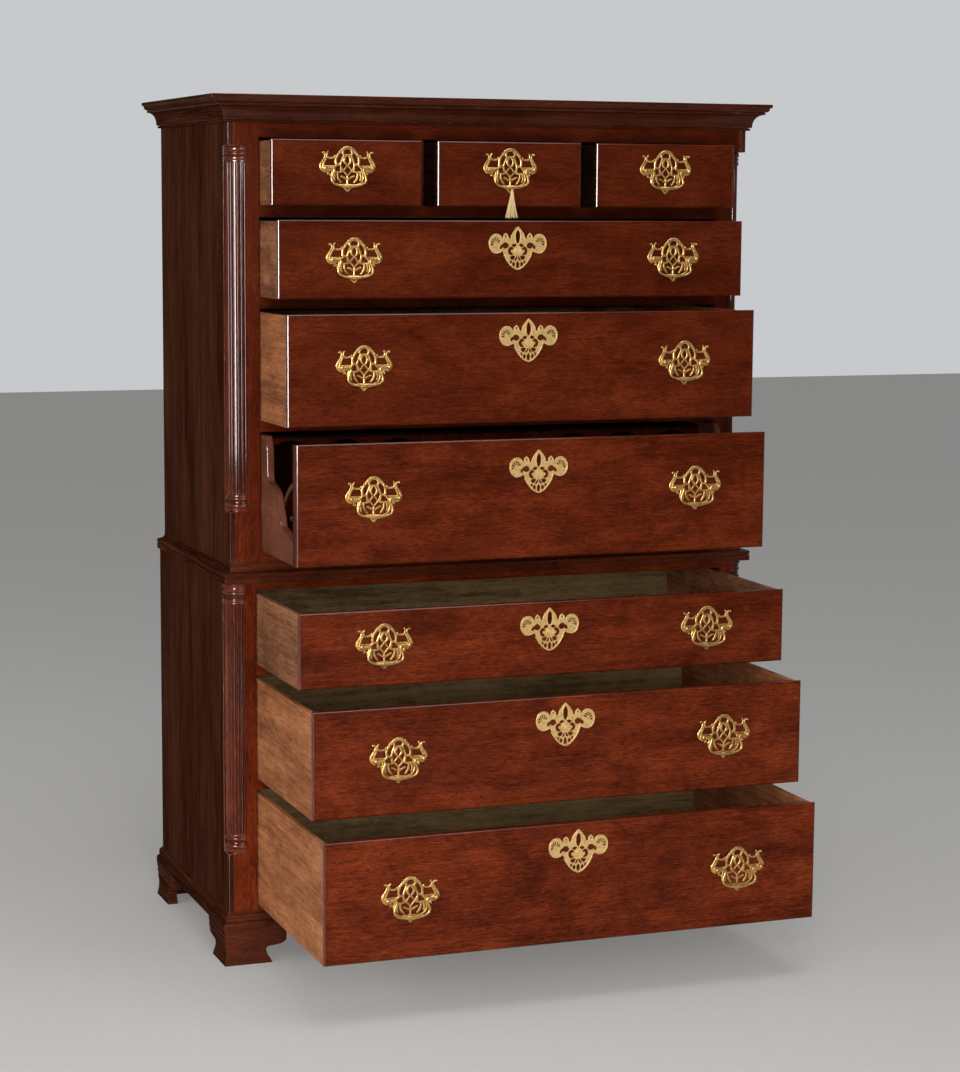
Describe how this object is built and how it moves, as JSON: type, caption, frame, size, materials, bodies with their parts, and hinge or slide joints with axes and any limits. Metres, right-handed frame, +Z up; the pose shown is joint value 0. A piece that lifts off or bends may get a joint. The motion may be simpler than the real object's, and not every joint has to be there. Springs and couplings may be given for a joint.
{
  "type": "chest on chest",
  "caption": "Tall two-part mahogany chest of graduated drawers with a secretaire drawer, fluted quarter columns, moulded cornice, bracket feet and pierced brass bail handles.",
  "frame": {"origin": "on the floor, under the middle of the box round the chest with its drawers open as stored", "axes": "+Z up, -Y the way the drawers open, +X to the right as seen from the front"},
  "size_m": [1.19, 1.0256, 1.7195],
  "materials": {
    "mahogany": "polished red-brown mahogany, fine horizontal figure",
    "dark_mahogany": "darker polished mahogany, straight grain",
    "mahogany_and_oak": "polished mahogany front on plain pale brown drawer linings",
    "brass": "cast brass, softly polished",
    "silk": "gold silk cords"
  },
  "bodies": {
    "case": {"lower_carcass": "dark_mahogany", "upper_carcass": "dark_mahogany", "base_moulding": "mahogany", "waist_moulding": "mahogany", "cornice": "mahogany", "column_upper_left": "mahogany", "column_upper_right": "mahogany", "column_lower_left": "mahogany", "column_lower_right": "mahogany", "foot_front_left": "mahogany", "foot_front_right": "mahogany", "foot_back_left": "mahogany", "foot_back_right": "mahogany"},
    "drawer_7": {"drawer_7": "mahogany_and_oak", "escutcheon_7": "brass", "plate_7_left": "brass", "plate_7_right": "brass"},
    "bail_7_left": {"bail_7_left": "brass"},
    "bail_7_right": {"bail_7_right": "brass"},
    "drawer_6": {"drawer_6": "mahogany_and_oak", "escutcheon_6": "brass", "plate_6_left": "brass", "plate_6_right": "brass"},
    "bail_6_left": {"bail_6_left": "brass"},
    "bail_6_right": {"bail_6_right": "brass"},
    "drawer_5": {"drawer_5": "mahogany_and_oak", "escutcheon_5": "brass", "plate_5_left": "brass", "plate_5_right": "brass"},
    "bail_5_left": {"bail_5_left": "brass"},
    "bail_5_right": {"bail_5_right": "brass"},
    "secretaire_drawer": {"secretaire_drawer": "dark_mahogany"},
    "fall_front": {"fall_front": "mahogany", "escutcheon_4": "brass", "plate_4_left": "brass", "plate_4_right": "brass"},
    "bail_4_left": {"bail_4_left": "brass"},
    "bail_4_right": {"bail_4_right": "brass"},
    "drawer_3": {"drawer_3": "mahogany_and_oak", "escutcheon_3": "brass", "plate_3_left": "brass", "plate_3_right": "brass"},
    "bail_3_left": {"bail_3_left": "brass"},
    "bail_3_right": {"bail_3_right": "brass"},
    "drawer_2": {"drawer_2": "mahogany_and_oak", "escutcheon_2": "brass", "plate_2_left": "brass", "plate_2_right": "brass"},
    "bail_2_left": {"bail_2_left": "brass"},
    "bail_2_right": {"bail_2_right": "brass"},
    "drawer_1_left": {"drawer_1_left": "mahogany_and_oak", "plate_1_left": "brass"},
    "bail_1_left": {"bail_1_left": "brass"},
    "drawer_1_middle": {"drawer_1_middle": "mahogany_and_oak", "plate_1_middle": "brass"},
    "bail_1_middle": {"bail_1_middle": "brass"},
    "tassel": {"tassel": "silk"},
    "drawer_1_right": {"drawer_1_right": "mahogany_and_oak", "plate_1_right": "brass"},
    "bail_1_right": {"bail_1_right": "brass"}
  },
  "joints": [
    {"name": "drawer_7_slide", "type": "slide", "parent": "case", "child": "drawer_7", "axis": [0, -1, 0], "range_m": [-0.446, 0.027]},
    {"name": "bail_7_left_swing", "type": "hinge", "parent": "drawer_7", "child": "bail_7_left", "pos_m": [-0.337, -0.5095, 0.2335], "axis": [-1, 0, 0], "range_deg": [0, 100]},
    {"name": "bail_7_right_swing", "type": "hinge", "parent": "drawer_7", "child": "bail_7_right", "pos_m": [0.337, -0.5095, 0.2335], "axis": [-1, 0, 0], "range_deg": [0, 100]},
    {"name": "drawer_6_slide", "type": "slide", "parent": "case", "child": "drawer_6", "axis": [0, -1, 0], "range_m": [-0.375, 0.098]},
    {"name": "bail_6_left_swing", "type": "hinge", "parent": "drawer_6", "child": "bail_6_left", "pos_m": [-0.337, -0.4385, 0.4825], "axis": [-1, 0, 0], "range_deg": [0, 100]},
    {"name": "bail_6_right_swing", "type": "hinge", "parent": "drawer_6", "child": "bail_6_right", "pos_m": [0.337, -0.4385, 0.4825], "axis": [-1, 0, 0], "range_deg": [0, 100]},
    {"name": "drawer_5_slide", "type": "slide", "parent": "case", "child": "drawer_5", "axis": [0, -1, 0], "range_m": [-0.29, 0.183]},
    {"name": "bail_5_left_swing", "type": "hinge", "parent": "drawer_5", "child": "bail_5_left", "pos_m": [-0.337, -0.3535, 0.6845], "axis": [-1, 0, 0], "range_deg": [0, 100]},
    {"name": "bail_5_right_swing", "type": "hinge", "parent": "drawer_5", "child": "bail_5_right", "pos_m": [0.337, -0.3535, 0.6845], "axis": [-1, 0, 0], "range_deg": [0, 100]},
    {"name": "secretaire_drawer_slide", "type": "slide", "parent": "case", "child": "secretaire_drawer", "axis": [0, -1, 0], "range_m": [-0.243, 0.212]},
    {"name": "fall_front_hinge", "type": "hinge", "parent": "secretaire_drawer", "child": "fall_front", "pos_m": [0, -0.2532, 0.8415], "axis": [1, 0, 0], "range_deg": [0, 90]},
    {"name": "bail_4_left_swing", "type": "hinge", "parent": "fall_front", "child": "bail_4_left", "pos_m": [-0.337, -0.2885, 0.9575], "axis": [-1, 0, 0], "range_deg": [0, 100]},
    {"name": "bail_4_right_swing", "type": "hinge", "parent": "fall_front", "child": "bail_4_right", "pos_m": [0.337, -0.2885, 0.9575], "axis": [-1, 0, 0], "range_deg": [0, 100]},
    {"name": "drawer_3_slide", "type": "slide", "parent": "case", "child": "drawer_3", "axis": [0, -1, 0], "range_m": [-0.183, 0.272]},
    {"name": "bail_3_left_swing", "type": "hinge", "parent": "drawer_3", "child": "bail_3_left", "pos_m": [-0.337, -0.2285, 1.203], "axis": [-1, 0, 0], "range_deg": [0, 100]},
    {"name": "bail_3_right_swing", "type": "hinge", "parent": "drawer_3", "child": "bail_3_right", "pos_m": [0.337, -0.2285, 1.203], "axis": [-1, 0, 0], "range_deg": [0, 100]},
    {"name": "drawer_2_slide", "type": "slide", "parent": "case", "child": "drawer_2", "axis": [0, -1, 0], "range_m": [-0.121, 0.334]},
    {"name": "bail_2_left_swing", "type": "hinge", "parent": "drawer_2", "child": "bail_2_left", "pos_m": [-0.337, -0.1665, 1.4065], "axis": [-1, 0, 0], "range_deg": [0, 100]},
    {"name": "bail_2_right_swing", "type": "hinge", "parent": "drawer_2", "child": "bail_2_right", "pos_m": [0.337, -0.1665, 1.4065], "axis": [-1, 0, 0], "range_deg": [0, 100]},
    {"name": "drawer_1_left_slide", "type": "slide", "parent": "case", "child": "drawer_1_left", "axis": [0, -1, 0], "range_m": [-0.078, 0.377]},
    {"name": "bail_1_left_swing", "type": "hinge", "parent": "drawer_1_left", "child": "bail_1_left", "pos_m": [-0.337, -0.1235, 1.581], "axis": [-1, 0, 0], "range_deg": [0, 100]},
    {"name": "drawer_1_middle_slide", "type": "slide", "parent": "case", "child": "drawer_1_middle", "axis": [0, -1, 0], "range_m": [-0.078, 0.377]},
    {"name": "bail_1_middle_swing", "type": "hinge", "parent": "drawer_1_middle", "child": "bail_1_middle", "pos_m": [0, -0.1235, 1.581], "axis": [-1, 0, 0], "range_deg": [0, 100]},
    {"name": "tassel_hang", "type": "hinge", "parent": "bail_1_middle", "child": "tassel", "pos_m": [0, -0.1235, 1.5455], "axis": [-1, 0, 0], "range_deg": [-100, 0]},
    {"name": "drawer_1_right_slide", "type": "slide", "parent": "case", "child": "drawer_1_right", "axis": [0, -1, 0], "range_m": [-0.078, 0.377]},
    {"name": "bail_1_right_swing", "type": "hinge", "parent": "drawer_1_right", "child": "bail_1_right", "pos_m": [0.337, -0.1235, 1.581], "axis": [-1, 0, 0], "range_deg": [0, 100]}
  ],
  "couplings": [
    {"joint": "tassel_hang", "follows": "bail_1_middle_swing", "ratio": -1}
  ]
}
